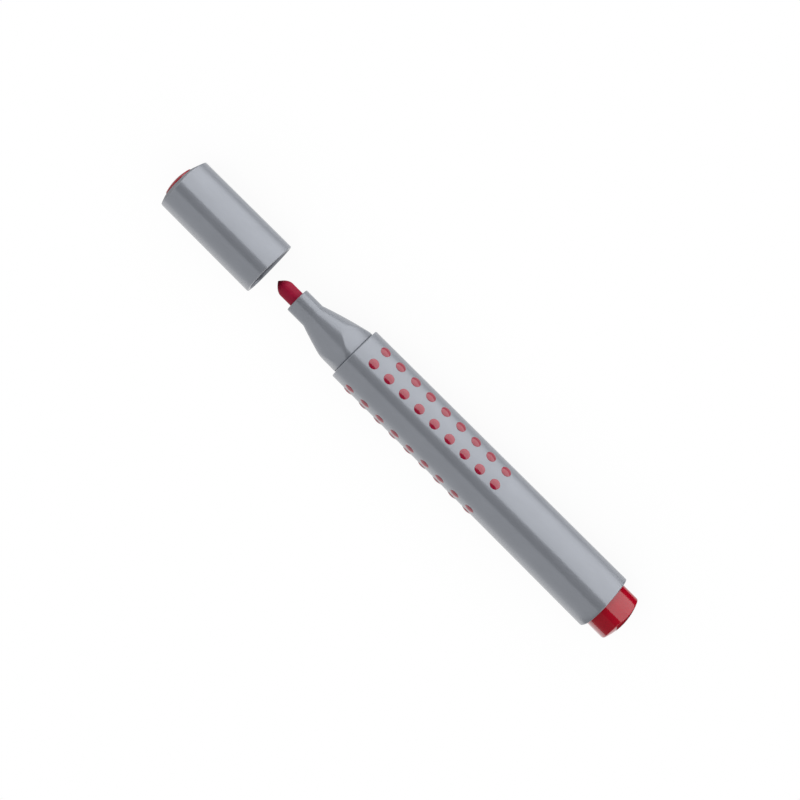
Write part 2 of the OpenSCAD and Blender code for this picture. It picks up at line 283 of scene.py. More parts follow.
def dot_profile():
    """Radius and height of a stud from its crown to its foot, the barrel's surface at height 0.

    Crown: height = out - R + sqrt(R^2 - r^2) with R the dome's radius; then an arc of radius
    DOT_EDGE from the dome's slope to the wall of the stud, and the straight shank.
    """
    dome = (DOT_R**2 + DOT_OUT**2) / (2 * DOT_OUT)
    r = np.linspace(INNERMOST, 1, 10) * (DOT_R - DOT_EDGE)
    height = DOT_OUT - dome + np.sqrt(dome**2 - r**2)
    slope = math.asin((DOT_R - DOT_EDGE) / dome)
    t = np.linspace(slope, math.pi / 2, 5)[1:]
    centre = r[-1] - DOT_EDGE * math.sin(slope), height[-1] - DOT_EDGE * math.cos(slope)
    scale = (DOT_R - centre[0]) / DOT_EDGE
    rim = centre[0] + DOT_EDGE * scale * np.sin(t), centre[1] + DOT_EDGE * np.cos(t)
    foot = [DOT_R, DOT_R], [-WALL / 2, -WALL + FOOT_LIFT]
    return np.concatenate([r, rim[0], foot[0]]), np.concatenate([height, rim[1], foot[1]])


def on_row(side, tilt, x, along, outward):
    """Places points given as (x, along the surface, out of the barrel's front outline) on a row.

    The row's normal leaves the centre of the side's arc at the angle side + tilt, and outward is
    added to the radius of that arc.
    """
    n, t = unit(side + tilt), unit(side + tilt + TOP)
    across = -SIDE_E * unit(side) + (SIDE_R + outward)[..., None] * n - along[..., None] * t
    return at_axis(x, across)


def stud(side, tilt, x, count=40):
    """One dot: its profile turned about the row's normal at x."""
    r, height = dot_profile()
    turn = np.linspace(0, 2 * math.pi, count, endpoint=False)
    grid_x = x + r[:, None] * np.cos(turn)
    along = r[:, None] * np.sin(turn)
    outward = np.broadcast_to(height[:, None] + draft_at(x), along.shape)
    return stacked(on_row(side, tilt, grid_x, along, outward))


def web(side, tilt, x0, x1):
    """The flat bar that joins a row: four long edges, closed at both ends."""
    low, high = -WALL, WEB_T - WALL
    along = np.array([[-1, 1, 1, -1]] * 2) * WEB_W / 2
    outward = np.array([[low, low, high, high]] * 2)
    return stacked(on_row(side, tilt, np.array([[x0] * 4, [x1] * 4]), along, outward))


ROWS = {
    "right_upper": (RIGHT, -ROW_ANGLE),
    "right_lower": (RIGHT, ROW_ANGLE),
    "left_upper": (LEFT, ROW_ANGLE),
    "left_lower": (LEFT, -ROW_ANGLE),
    "under_right": (UNDER, -ROW_ANGLE),
    "under_left": (UNDER, ROW_ANGLE),
}
DOT_X = FRONT - DOT_FIRST - DOT_PITCH * np.arange(DOTS_PER_ROW)
rows = {}
for row_name, (side, tilt) in ROWS.items():
    studs = [stud(side, tilt, x) for x in DOT_X]
    bar = web(side, tilt, DOT_X[-1], DOT_X[0])
    rows[row_name] = build("grip_dots_" + row_name, *studs, bar)

# %% [markdown]
# The nib holder is where two forms meet. A bowed cone runs from the round sleeve towards the
# barrel, and a collar with the barrel's triangular section cuts it: where the cone grows wider
# than the collar, its surface ends in the curved line that the light picks out. Both are radii
# over the same two parameters, the place along the axis and the angle round it, so the holder is
# their smaller one, with a soft minimum that leaves the small round of a mould. Cutting one solid
# with the other would leave a hard and ragged line there.

# %% Collar and nose
COLLAR = -1.26 * MM
COLLAR_DRAFT = 0.12 * MM
NOSE_START = FRONT + 15 * MM
NOSE_BULGE = 0.22 * MM
NOSE_PAST = 0.125 * MM
SLEEVE_R = 3.7 * MM
BLEND = 0.1 * MM


def triangle_radius(angle, offset):
    """Distance from the axis to the rounded triangle in a direction, moved outwards by offset.

    A ray meets an arc of radius R about a centre at distance e in direction c at
    e * cos(g) + sqrt(R^2 - e^2 * sin(g)^2), with g the angle between the ray and c.
    """
    near = (angle - TOP + THIRD / 2) % THIRD - THIRD / 2
    tangent = CORNER_E * unit(0.0) + (CORNER_R + offset)[..., None] * unit(JOIN)
    limit = np.arctan2(tangent[..., 1], tangent[..., 0])
    across = CORNER_E * np.sin(near)
    corner = CORNER_E * np.cos(near) + np.sqrt((CORNER_R + offset) ** 2 - across**2)
    off = THIRD / 2 - np.abs(near)
    across = SIDE_E * np.sin(off)
    side = -SIDE_E * np.cos(off) + np.sqrt((SIDE_R + offset) ** 2 - across**2)
    return np.where(np.abs(near) < limit, corner, side)


def soft_min(a, b, blend):
    """Smooth minimum: (a + b - sqrt((a - b)^2 + blend^2)) / 2."""
    return (a + b - np.sqrt((a - b) ** 2 + blend**2)) / 2


def nose_radius(x):
    """Radius of the nose: a straight taper, plus a shallow parabola for its bow."""
    end = CORNER_H + COLLAR + NOSE_PAST
    t = (x - FRONT) / (NOSE_START - FRONT)
    return end + (SLEEVE_R - end) * t + 4 * NOSE_BULGE * t * (1 - t)


def holder_radius(x, angle):
    """The smaller of the nose and the collar in front of the barrel."""
    collar = triangle_radius(angle, COLLAR - COLLAR_DRAFT * (x - FRONT) / (SLEEVE_FRONT - FRONT))
    return soft_min(nose_radius(x), collar, BLEND)


print("collar set in by", round(-COLLAR / MM, 2), "mm, sleeve radius", round(SLEEVE_R / MM, 2))

# %% [markdown]
# The holder's rings start at the spigot inside the barrel. They cross the fine groove that marks
# the joint, follow the nose to the sleeve and its chamfered front edge, and come back through the
# bore, where three vents run beside the nib, to the wide chamber inside the spigot. RING_GAP and
# STEP place extra rings beside an edge, and 360 points round let the curved line come out clean.

# %% Nib holder
CHAMFER = 0.25 * MM
CHAMFER_BACK = np.array([1, 0.45, 0.1, 0]) * CHAMFER
CHAMFER_CUT = np.array([0, 0.18, 0.55, 1]) * CHAMFER
GROOVE_W = 0.3 * MM
GROOVE_T = 0.08 * MM
GROOVE_X = np.array([-0.1, 0, 0.6, 0.9, 1]) * GROOVE_W
GROOVE_CUT = np.array([1, 1, 1, 0.35, 0.05]) * GROOVE_T
FIT = 0.04 * MM
SPIGOT_WALL = 1.1 * MM
NIB_GAP = 0.03 * MM
BORE_R = NIB_R + NIB_GAP
BORE_FLARE = 0.12 * MM
BORE_END = FRONT + 10 * MM
CHAMBER_END = FRONT + 1 * MM
VENT_W = 0.6 * MM
VENT_T = 0.35 * MM
VENT_SLOPE = 0.06 * MM
STEP = 0.1 * MM
RING_GAP = 0.3 * MM
NOSE_RINGS = 110
ROUND = 360


def polar_rings(x, radius, angle):
    """Rings from a radius over (station, angle): radius * (cos, sin) of the angle."""
    return at_axis(x, radius[..., None] * unit(angle))


angle = np.linspace(0, 2 * math.pi, ROUND, endpoint=False)[None, :]
spigot_x = np.array([SPIGOT_BACK, SPIGOT_BACK + RING_GAP, FRONT - RING_GAP])[:, None]
spigot = triangle_radius(angle, np.zeros((3, 1)) - WALL - FIT)
nose_wall = np.linspace(FRONT + GROOVE_W + STEP, NOSE_START, NOSE_RINGS)
nose_x = np.concatenate([FRONT + GROOVE_X, nose_wall])[:, None]
nose = holder_radius(nose_x, angle)
nose[: len(GROOVE_CUT)] -= GROOVE_CUT[:, None]
sleeve_wall = np.linspace(NOSE_START + RING_GAP, SLEEVE_FRONT - CHAMFER - 2 * STEP, 6)
sleeve_x = np.concatenate([sleeve_wall, SLEEVE_FRONT - CHAMFER_BACK])[:, None]
sleeve_cut = np.concatenate([0 * sleeve_wall, CHAMFER_CUT])[:, None]
sleeve = np.broadcast_to(SLEEVE_R - sleeve_cut, (len(sleeve_x), ROUND))
vent = np.zeros((1, ROUND))
for side in (LEFT, RIGHT, UNDER):
    off = np.abs((angle - side + math.pi) % (2 * math.pi) - math.pi) * BORE_R
    vent = np.maximum(vent, np.clip((VENT_W / 2 - off) / VENT_SLOPE + 0.5, 0, 1))
bore_x = np.array([SLEEVE_FRONT, SLEEVE_FRONT - STEP, BORE_END])[:, None]
bore = BORE_R + vent * VENT_T + np.array([BORE_FLARE, 0, 0])[:, None]
chamber_x = np.array([CHAMBER_END, SPIGOT_BACK])[:, None]
chamber = np.full((2, ROUND), SIDE_H - WALL - FIT - SPIGOT_WALL)
holder_rings = np.concatenate([
    polar_rings(spigot_x, spigot, angle),
    polar_rings(nose_x, nose, angle),
    polar_rings(sleeve_x, sleeve, angle),
    polar_rings(bore_x, bore, angle),
    polar_rings(chamber_x, chamber, angle),
])
holder = build("nib_holder_skin", stacked(holder_rings, closed=True))

# %% [markdown]
# The nib is bonded fibre, ground to a bullet. Its tip is a parabola turned about the axis, which
# falls away slowly at first and then to a blunt point, and its rear end is a short cone. Half an
# ellipse is the other common bullet, but it ends rounder than this one does.

# %% Nib
TIP_LENGTH = 3.3 * MM
TIP_SHARE = 0.985
BLUNT_BACK = 0.01 * MM
BLUNT_SHARE = 0.014


def nib_stations():
    """Rear cone, rod, and the tip: radius = R * (1 - t^2) as t goes up to 1 over the tip.

    It stops a little short of 1, at TIP_SHARE, and one small ring makes the blunt point.
    """
    t = np.linspace(0, TIP_SHARE, 26)
    tip = list(zip(NIB_TIP - TIP_LENGTH * (1 - t), NIB_R * (1 - t**2)))
    blunt = [(NIB_TIP - BLUNT_BACK, NIB_R * BLUNT_SHARE)]
    rod = between(NIB_BACK + NIB_R, NIB_TIP - TIP_LENGTH - SUPPORT, lambda x: NIB_R + 0 * x, 6)
    return [(NIB_BACK, NIB_R / 2)] + rod + tip + blunt


nib = build("fibre_nib", stacked(round_rings(nib_stations(), 96)))

# %% [markdown]
# The end plug closes the rear. Its wall is the barrel's section again, just small enough for
# the bore, and its end is part of a wide sphere. The dome is made from shrinking copies of the
# outline, each set back by the sphere's depth at its distance from the axis. A sphere cut by the
# outline gives the same form, but with the copies the rim is a whole ring, easy to round. The
# wall's rings lie past the dome, by the barrel's edge, and at the bevel that leads the plug in.

# %% End plug
PLUG_OFF = -(WALL + FIT)
PLUG_DOME_R = 17 * MM
PLUG_ROUND = 0.35 * MM
PLUG_WALL = 1.5 * MM
DOME_ROOM = 3.2 * MM
SEAT_DEPTH = 1 * MM
PLUG_LEAD = 0.3 * MM


def sphere_depth(across, radius):
    """How far a sphere's surface lies behind its apex at a distance r: R - sqrt(R^2 - r^2)."""
    return radius - np.sqrt(radius**2 - (across**2).sum(axis=-1))


def domed_end(apex, inward, radius, offset, rounding):
    """Rings from the middle of a domed end out to the wall, with a rounded rim.

    The rim is an arc of radius rounding that touches the wall and the sphere: at an angle t
    from the axis it lies rounding * (1 - sin t) inside the wall, from the sphere's slope to 90.
    """
    rings = []
    inside_rim = BASE + (offset - rounding) * NORMAL
    slope = np.arcsin(np.sqrt((inside_rim**2).sum(axis=-1)) / radius)
    inner = BASE + (offset - rounding * (1 - np.sin(slope)))[:, None] * NORMAL
    for share in (INNERMOST, 0.1, 0.2, 0.3, 0.4, 0.5, 0.6, 0.7, 0.8, 0.88, 0.94, 0.98, 1.0):
        across = inner * share
        rings.append(at_axis(apex + inward * sphere_depth(across, radius), across))
    start = apex + inward * (sphere_depth(inner, radius) + rounding * np.cos(slope))
    for part in (0.2, 0.4, 0.6, 0.8, 1.0):
        turn = slope + (math.pi / 2 - slope) * part
        across = BASE + (offset - rounding * (1 - np.sin(turn)))[:, None] * NORMAL
        rings.append(at_axis(start - inward * rounding * np.cos(turn), across))
    return rings


plug_rings = domed_end(PLUG_END, 1, PLUG_DOME_R, PLUG_OFF, PLUG_ROUND)
plug_wall = [
    (PLUG_END + DOME_ROOM, PLUG_OFF),
    (REAR + LIP + SEAT_DEPTH, PLUG_OFF),
    (PLUG_FRONT - PLUG_LEAD, PLUG_OFF),
    (PLUG_FRONT, PLUG_OFF - PLUG_LEAD / 2),
    (PLUG_FRONT, PLUG_OFF - PLUG_WALL),
    (PLUG_END + 2 * PLUG_WALL, PLUG_OFF - PLUG_WALL),
]
plug_rings = np.concatenate([np.array(plug_rings), triangle_rings(plug_wall)])
plug = build("end_plug_skin", stacked(plug_rings))

# %% [markdown]
# The cap is a deep three-sided cup. From its mouth the wall draws in a little towards the closed
# end, where a shallow cone leads up to a round hole. The crown's rings are blends between the
# triangular rim and that circle, each set at the cone's height for its own distance from the
# axis. Scaled copies of the outline, as on the plug, would not end in a circle.

# %% Forms of the cap
CAP_DRAFT = 0.14 * MM
DISC_R = 4.7 * MM
CROWN_ANGLE = math.radians(21)
CROWN_SLOPE = math.tan(CROWN_ANGLE)
CROWN_WALL = 1.4 * MM / math.cos(CROWN_ANGLE)
CAP_CLEAR = 0.08 * MM
CAP_INSET = COLLAR + CAP_CLEAR
DISC_GAP = 0.1 * MM
HOLE_R = DISC_R + DISC_GAP
CAP_LENGTH = CAP_END - MOUTH


def cap_offset(x):
    """The cap's outer surface: it draws in evenly from the mouth to the closed end."""
    return -CAP_DRAFT * (x - MOUTH) / CAP_LENGTH


def crown_x(across, rim_x):
    """Place of the crown's cone: it falls from rim_x by its slope beyond the disc's radius."""
    return rim_x - CROWN_SLOPE * (np.sqrt((across**2).sum(axis=-1)) - DISC_R)


def crown_rings(outer, rim_x, shares, circle_r):
    """Blends of the outline outer with a circle about the axis, laid on the crown's cone."""
    circle = circle_r * outer / np.sqrt((outer**2).sum(axis=-1, keepdims=True))
    rings = []
    for share in shares:
        across = outer + (circle - outer) * share
        rings.append(at_axis(crown_x(across, rim_x), across))
    return rings


def rim_rings(offset, rim_x, rounding):
    """The rounded rim between the cap's wall and its crown, from the wall to the cone."""
    end = BASE + (offset - rounding * (1 - math.sin(CROWN_ANGLE))) * NORMAL
    top = crown_x(end, rim_x) - rounding * math.cos(CROWN_ANGLE)
    rings = []
    for turn in np.linspace(0, math.pi / 2 - CROWN_ANGLE, 6):
        across = BASE + (offset - rounding * (1 - math.cos(turn))) * NORMAL
        rings.append(at_axis(top + rounding * math.sin(turn), across))
    return rings


print("cap", round(CAP_LENGTH / MM, 1), "mm long, hole", round(HOLE_R / MM, 1), "mm in radius")

# %% [markdown]
# The path goes from the mouth along the outside to the rim and up the crown. Its last rings turn
# down into the hole in a soft round, so that the disc's rim stands clear, and the way back inside
# follows the same forms, a wall's thickness deeper. The depths say how far before the disc's rim
# the crown starts, and where the straight walls end on the outside and on the inside.

# %% Cap shell
LIP_EDGE = 0.05 * MM
RIM_ROUND = 0.2 * MM
HOLE_ROUND = 0.9 * MM
CROWN_BACK = 0.12 * MM
CROWN_DEPTH = 2 * MM
OUTER_DEPTH = 3.2 * MM
INNER_DEPTH = 2.2 * MM
CROWN_TOP = DISC_RIM - CROWN_BACK
wall_end = cap_offset(DISC_RIM - CROWN_DEPTH)
outer_edge = BASE + (wall_end - RIM_ROUND * (1 - math.sin(CROWN_ANGLE))) * NORMAL
mouth_path = edge(MOUTH, 0, EDGE_R, 1, from_wall=False)
mouth_path += between(MOUTH + EDGE_R + SUPPORT, DISC_RIM - OUTER_DEPTH, cap_offset, 12)
inner_wall = wall_end + CAP_INSET
inside = BASE + inner_wall * NORMAL
cap_rings = list(triangle_rings(mouth_path))
cap_rings += rim_rings(wall_end, CROWN_TOP, RIM_ROUND)
shares = (0.06, 0.2, 0.4, 0.6, 0.8, 0.93, 1.0)
cap_rings += crown_rings(outer_edge, CROWN_TOP, shares, HOLE_R + HOLE_ROUND)
for part in (0.3, 0.6, 1.0):
    turn = math.pi / 2 * part
    rim = CROWN_TOP - HOLE_ROUND * (1 - math.cos(turn))
    cap_rings += crown_rings(outer_edge, rim, (1.0,), HOLE_R + HOLE_ROUND * (1 - math.sin(turn)))
cap_rings += crown_rings(inside, DISC_RIM - CROWN_WALL, (1.0, 0.5, 0.05, 0.0), HOLE_R)
cap_rings += list(triangle_rings([
    (DISC_RIM - CROWN_WALL - INNER_DEPTH, inner_wall),
    (MOUTH + LIP + SUPPORT, CAP_INSET),
    (MOUTH + LIP, CAP_INSET),
    (MOUTH + LIP_EDGE, CAP_INSET + LIP - LIP_EDGE),
    (MOUTH, CAP_INSET + LIP + LIP_EDGE),
]))
cap_shell = stacked(np.array(cap_rings), closed=True)
print("cap shell:", len(cap_rings), "rings")

# %% [markdown]
# Three ribs stand inside the cap, one on the middle of each side, and carry the sealing cup.
# They show only to someone who looks into the mouth, so a plain closed bar does for each. Its
# root goes a little way into the wall, as it does in a moulding.

# %% Ribs inside the cap
CAP_RIB_W = 1.2 * MM
RIB_BACK = 1 * MM
RIB_ROOT = 0.3 * MM
FLANGE_T = 1.1 * MM
FLANGE_R = (insert_box[1, 1] - insert_box[0, 1]) / 2
FLANGE_TOP = DISC_RIM - CROWN_WALL - (FLANGE_R - DISC_R) * CROWN_SLOPE - DISC_GAP
FLANGE_LOW = FLANGE_TOP - FLANGE_T


def cap_rib(side):
    """A bar from the side wall in to the cup: four long edges, closed at both ends."""
    n, t = unit(side), unit(side + TOP) * CAP_RIB_W / 2
    inner, outer = HOLE_R * n, (SIDE_H + CAP_INSET + RIB_ROOT) * n
    across = np.array([inner - t, inner + t, outer + t, outer - t])
    x = np.array([[CUP_START + RIB_BACK] * 4, [FLANGE_LOW - DISC_GAP] * 4])
    return stacked(at_axis(x, np.array([across, across])))


cap = build("cap_skin", cap_shell, *[cap_rib(side) for side in (LEFT, RIGHT, UNDER)])

# %% [markdown]
# The coloured insert is turned: a cup that closes round the sleeve and keeps the nib wet,
# a flange behind the crown, and the domed disc that shows the ink's colour from outside. It is one
# moulding, so one path goes round all of it. A cup, a ring and a disc joined by Boolean modifiers
# would take three paths and leave uneven faces where they meet.

# %% Cap insert
DISC_DOME_R = 15 * MM
DISC_WALL = 2.24 * MM
DISC_EDGE = np.array([0.2, 0.11, 0.04, 0.005]) * MM
DISC_SIDE = 0.4 * MM
SEAL_CLEAR = 0.05 * MM
CUP_R = SLEEVE_R + SEAL_CLEAR
CUP_END = DISC_RIM - DISC_WALL
CUP_ROUND = 0.3 * MM
FLARE = 0.3 * MM


def disc_stations():
    """The dome, x = apex - (R - sqrt(R^2 - r^2)), with its outer rings set back as a soft rim."""
    rim = [1, 0.99, 0.975, 0.95]
    middle = [0.93, 0.85, 0.7, 0.55, 0.4, 0.25, 0.1, INNERMOST]
    r = DISC_R * np.array(rim + middle)
    x = CAP_END - DISC_DOME_R + np.sqrt(DISC_DOME_R**2 - r**2)
    x[: len(rim)] -= DISC_EDGE
    return list(zip(x, r))


insert_path = [
    (CUP_END, STEP),
    (CUP_END, CUP_R - CUP_ROUND),
    (CUP_END - CUP_ROUND, CUP_R),
    (CUP_START + FLARE, CUP_R),
    (CUP_START, CUP_R + FLARE),
    (CUP_START, DISC_R - STEP),
    (CUP_START + STEP, DISC_R),
    (FLANGE_LOW, DISC_R),
    (FLANGE_LOW, FLANGE_R),
    (FLANGE_TOP, FLANGE_R),
    (DISC_RIM - CROWN_WALL - DISC_GAP, DISC_R),
    (DISC_RIM - DISC_SIDE, DISC_R),
]
insert = build("cap_insert_skin", stacked(round_rings(insert_path + disc_stations(), 128)))

# %% [markdown]
# Shader maths reads best as plain expressions. A small class wraps a socket of the node tree and
# answers to the operators, so that 0.5 + 0.1 * noise adds the Math nodes by itself. Every other
# node comes from one function that takes its type, its settings and what its sockets get.

# %% A small language for materials
class Wire:
    """An output socket that takes part in Python expressions."""

    def __init__(self, tree, socket):
        self.tree = tree
        self.socket = socket

    def apply(self, operation, *values):
        """A Math node with that operation on the given numbers or wires."""
        sockets = dict(enumerate(values))
        return node(self.tree, "ShaderNodeMath", {"operation": operation}, sockets)

    def __add__(self, other):
        return self.apply("ADD", self, other)

    def __mul__(self, other):
        return self.apply("MULTIPLY", self, other)

    def __sub__(self, other):
        return self.apply("SUBTRACT", self, other)

    def __rsub__(self, other):
        return self.apply("SUBTRACT", other, self)

    __radd__ = __add__
    __rmul__ = __mul__


def node(tree, kind, settings=None, sockets=None, output=0):
    """Any node: settings are set first, then each socket gets its number, colour or wire."""
    made = tree.nodes.new(kind)
    for name, value in (settings or {}).items():
        setattr(made, name, value)
    for name, value in (sockets or {}).items():
        if isinstance(value, Wire):
            tree.links.new(value.socket, made.inputs[name])
        else:
            made.inputs[name].default_value = value
    return Wire(tree, made.outputs[output])


# %% [markdown]
# Every finish starts from noise in object coordinates, so the pattern stays on the piece when it
# moves. Noise is soft clouds; stretched along one axis it is drag lines or fibres. A few helpers
# turn it into a colour between two tones, a roughness, or a bump whose depth is a real length.

# %% Helpers for finishes
def place(tree, scale):
    """Object coordinates times a scale for each axis."""
    where = node(tree, "ShaderNodeTexCoord", output="Object")
    return node(tree, "ShaderNodeMapping", sockets={"Vector": where, "Scale": scale})


def noise(tree, scale, detail=2.0, roughness=0.5):
    """Soft noise from 0 to 1 about 0.5, with its scale along each axis per metre."""
    sockets = {"Vector": place(tree, scale), "Scale": 1.0}
    sockets.update({"Detail": detail, "Roughness": roughness})
    return node(tree, "ShaderNodeTexNoise", sockets=sockets)


def blend_colours(tree, share, first, second):
    """A colour between two, by a wire from 0 to 1; each is a wire or three numbers."""
    first, second = (c if isinstance(c, Wire) else (*c, 1) for c in (first, second))
    sockets = {0: share, 6: first, 7: second}
    return node(tree, "ShaderNodeMix", {"data_type": "RGBA"}, sockets, output=2)


def shades(tone, spread):
    """A darker and a lighter version of a colour, by the same share."""
    return tuple((1 - spread) * v for v in tone), tuple((1 + spread) * v for v in tone)


def material(name, **constants):
    """A new material, its tree, and its Principled shader with those constant sockets."""
    made = bpy.data.materials.new(name)
    made.use_nodes = True
    tree = made.node_tree
    shader = tree.nodes["Principled BSDF"]
    for socket, value in constants.items():
        shader.inputs[socket.replace("_", " ")].default_value = value
    return made, tree, shader


def drive(tree, shader, socket, wire):
    """Links a wire to one of the shader's sockets."""
    tree.links.new(wire.socket, shader.inputs[socket])


def bump(tree, shader, height, depth):
    """A Bump node that feeds the shader's normal; depth is how deep a height of one is."""
    sockets = {"Height": height, "Distance": depth, "Strength": 1.0}
    drive(tree, shader, "Normal", node(tree, "ShaderNodeBump", sockets=sockets))


def white_glow(tree, strength):
    """White emission with that strength."""
    sockets = {"Color": (1, 1, 1, 1), "Strength": strength}
    return node(tree, "ShaderNodeEmission", sockets=sockets)


def bare_material(name):
    """A new material with no shader; returns it, its tree, and its surface socket."""
    made = bpy.data.materials.new(name)
    made.use_nodes = True
    made.node_tree.nodes.clear()
    output = made.node_tree.nodes.new("ShaderNodeOutputMaterial")
    return made, made.node_tree, output.inputs["Surface"]


# %% [markdown]
# The grey pieces are satin plastic with a fine silver pigment, which is why their highlights are
# wide, clear and neutral. Three things keep such a finish alive up close: clouds of pigment
# a few millimetres wide, a fine grain from the spark-eroded mould, and drag lines along the pull.

# %% Silver grey plastic
def silver_plastic(name, tone, roughness, drag):
    """Satin grey: pigment clouds in the colour, drag lines in the roughness, grain in the bump."""
    made, tree, shader = material(name, Metallic=0.23, IOR=1.5)
    clouds = noise(tree, (120, 260, 260), detail=3.0)
    drive(tree, shader, "Base Color", blend_colours(tree, clouds, *shades(tone, 0.07)))
    lines = noise(tree, (60, 2600, 2600), detail=2.0)
    drive(tree, shader, "Roughness", roughness - 0.5 * drag + drag * lines)
    grain = noise(tree, (5200, 5200, 5200), detail=2.0)
    bump(tree, shader, grain + 2 * drag * lines, 2 * MICRON)
    return made


SILVER_TONE = (0.283, 0.3, 0.335)
barrel_grey = silver_plastic("silver_grey_barrel", SILVER_TONE, 0.26, 0.04)
holder_grey = silver_plastic("silver_grey_holder", SILVER_TONE, 0.27, 0.01)
cap_grey = silver_plastic("silver_grey_cap", SILVER_TONE, 0.26, 0.04)
print("grey finishes:", barrel_grey.name, holder_grey.name, cap_grey.name)

# %% [markdown]
# The red pieces take their colour from the ink. The end plug and the cap's disc are polished,
# and the grip dots are a little duller, because fingers hold them. Clear plastic with pigment
# below it would be truer, but at this depth of colour the eye sees only the red and the gloss.

# %% Red plastic
def red_plastic(name, tone, ior, roughness, grain_depth):
    """Coloured plastic: faint clouds in the colour, faint smears in the gloss, a slight ripple."""
    made, tree, shader = material(name, IOR=ior)
    clouds = noise(tree, (300, 300, 300), detail=2.0)
    drive(tree, shader, "Base Color", blend_colours(tree, clouds, *shades(tone, 0.1)))
    smears = noise(tree, (500, 900, 900), detail=3.0)
    drive(tree, shader, "Roughness", roughness - 0.04 + 0.08 * smears)
    bump(tree, shader, noise(tree, (2500, 2500, 2500)), grain_depth)
    return made


PLUG_TONE = (0.43, 0.0003, 0.015)
DOT_TONE = (0.33, 0.001, 0.028)
plug_red = red_plastic("polished_red", PLUG_TONE, 1.51, 0.1, 2 * MICRON)
dot_red = red_plastic("satin_red", DOT_TONE, 1.65, 0.14, 3 * MICRON)
print("red finishes:", plug_red.name, dot_red.name)

# %% [markdown]
# Fibre parts are bundles of fine threads along the axis. Noise that is stretched along X gives
# the threads, in the colour as well as in the bump, and a soft sheen replaces the gloss. The nib's
# tone grows darker towards its tip.

# %% Ink-soaked fibre and film
TIP_DARK_REACH = 2.2 * MM


def fibre(name, dark, light, depth, tip_darkening=0.0):
    """Threads along X: stretched noise between two tones, and the same noise as bump.

    The last argument says how far the colour goes to a fifth of the dark tone, darker towards
    the tip, over the last 2.2 mm of the nib.
    """
    made, tree, shader = material(name, IOR=1.33)
    threads = noise(tree, (90, 4200, 4200), detail=3.0, roughness=0.6)
    patches = noise(tree, (700, 700, 700), detail=2.0)
    colour = blend_colours(tree, 0.6 * threads + 0.4 * patches, dark, light)
    x = node(tree, "ShaderNodeSeparateXYZ", sockets={"Vector": place(tree, (1, 1, 1))})
    # The colour grows darker towards the nib's tip, over its last 2.2 mm.
    reach = {"Value": x, "From Min": NIB_TIP - TIP_DARK_REACH, "From Max": NIB_TIP, "To Max": tip_darkening}
    ramp = node(tree, "ShaderNodeMapRange", {"interpolation_type": "SMOOTHSTEP"}, reach)
    tip_tone = tuple(v / 5 for v in dark)
    drive(tree, shader, "Base Color", blend_colours(tree, ramp, colour, tip_tone))
    drive(tree, shader, "Roughness", 0.45 + 0.25 * threads)
    bump(tree, shader, threads + 0.5 * patches, depth)
    return made


NIB_TONES = (0.26, 0.0004, 0.02), (0.48, 0.0008, 0.05)
CORE_TONES = (0.42, 0.02, 0.05), (0.75, 0.14, 0.18)
FILM_TONES = (0.72, 0.72, 0.75), (0.9, 0.9, 0.92)
nib_fibre = fibre("wet_red_fibre", *NIB_TONES, 30 * MICRON, tip_darkening=0.8)
core_fibre = fibre("soaked_core", *CORE_TONES, 50 * MICRON)


def film_finish():
    """Thin wrap: pale, smooth, with long soft wrinkles."""
    made, tree, shader = material("thin_film", IOR=1.45)
    wrinkles = noise(tree, (40, 600, 600), detail=3.0)
    drive(tree, shader, "Base Color", blend_colours(tree, wrinkles, *FILM_TONES))
    drive(tree, shader, "Roughness", 0.1 + 0.15 * wrinkles)
    bump(tree, shader, wrinkles, 40 * MICRON)
    return made


film = film_finish()
print("soft finishes:", nib_fibre.name, core_fibre.name, film.name)

# %% [markdown]
# Each skin now stands for its solid, rides on the body that carries it, and takes its material
# slot. The reservoir and its film are hidden inside, so their solids stay and only get a finish.

# %% Dress the pieces
def dress(piece, finish, body, node_name):
    """Gives a skin its material and its body, and hides the solid that it stands for."""
    piece.data.materials.append(finish)
    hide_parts(node_name)
    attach(piece, body)


dress(barrel, barrel_grey, "marker", "barrel")
dress(holder, holder_grey, "marker", "nib_holder")
dress(nib, nib_fibre, "marker", "nib")
dress(plug, plug_red, "marker", "end_plug")
dress(cap, cap_grey, "cap", "cap_shell")
dress(insert, plug_red, "cap", "cap_insert")
for row_name, row in rows.items():
    dress(row, dot_red, "marker", "grip_strip_" + row_name)
for name, finish in (("ink_reservoir", core_fibre), ("reservoir_film", film)):
    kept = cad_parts[name]
    for slot in kept.material_slots:
        slot.material = finish

# %% [markdown]
# The camera looks down steeply from the right, turned so that the marker runs across the corner
# of the frame. Its three directions follow from the angle above the table; a long lens far away
# keeps the marker's sides nearly parallel. AIM_X and AIM_T say where along and across the marker
# it aims, TILT how far it leans along the marker, and ROLL how far it turns about its own view.

# %% Camera
ELEVATION = math.radians(68.6)
DISTANCE = 0.648
VIEW_WIDTH = 0.216
AIM_X = 0.35 * MM
AIM_T = 0.5 * MM
ROLL = math.radians(-0.18)
TILT = math.radians(-0.7)

along = np.array([math.cos(TILT), 0, math.sin(TILT)])
toward = np.array([0, -math.cos(ELEVATION), math.sin(ELEVATION)])
toward = toward - along * toward.dot(along)
toward /= np.linalg.norm(toward)
near_side = np.cross(along, toward)
turn = math.pi / 4 - ROLL
right = -math.cos(turn) * along + math.sin(turn) * near_side
up = math.sin(turn) * along + math.cos(turn) * near_side
aim = np.array([AIM_X, 0, AXIS_Z]) + AIM_T * near_side
eye = aim + DISTANCE * toward
lens = bpy.data.cameras.new("camera")
lens.lens = lens.sensor_width * DISTANCE / VIEW_WIDTH
camera = bpy.data.objects.new("camera", lens)
bpy.context.scene.collection.objects.link(camera)
matrix = np.eye(4)
matrix[:3, 0], matrix[:3, 1], matrix[:3, 2], matrix[:3, 3] = right, up, toward, eye
camera.matrix_world = matrix.T.tolist()
bpy.context.scene.camera = camera
print("camera at", np.round(eye, 3), "lens", round(lens.lens, 1), "mm")

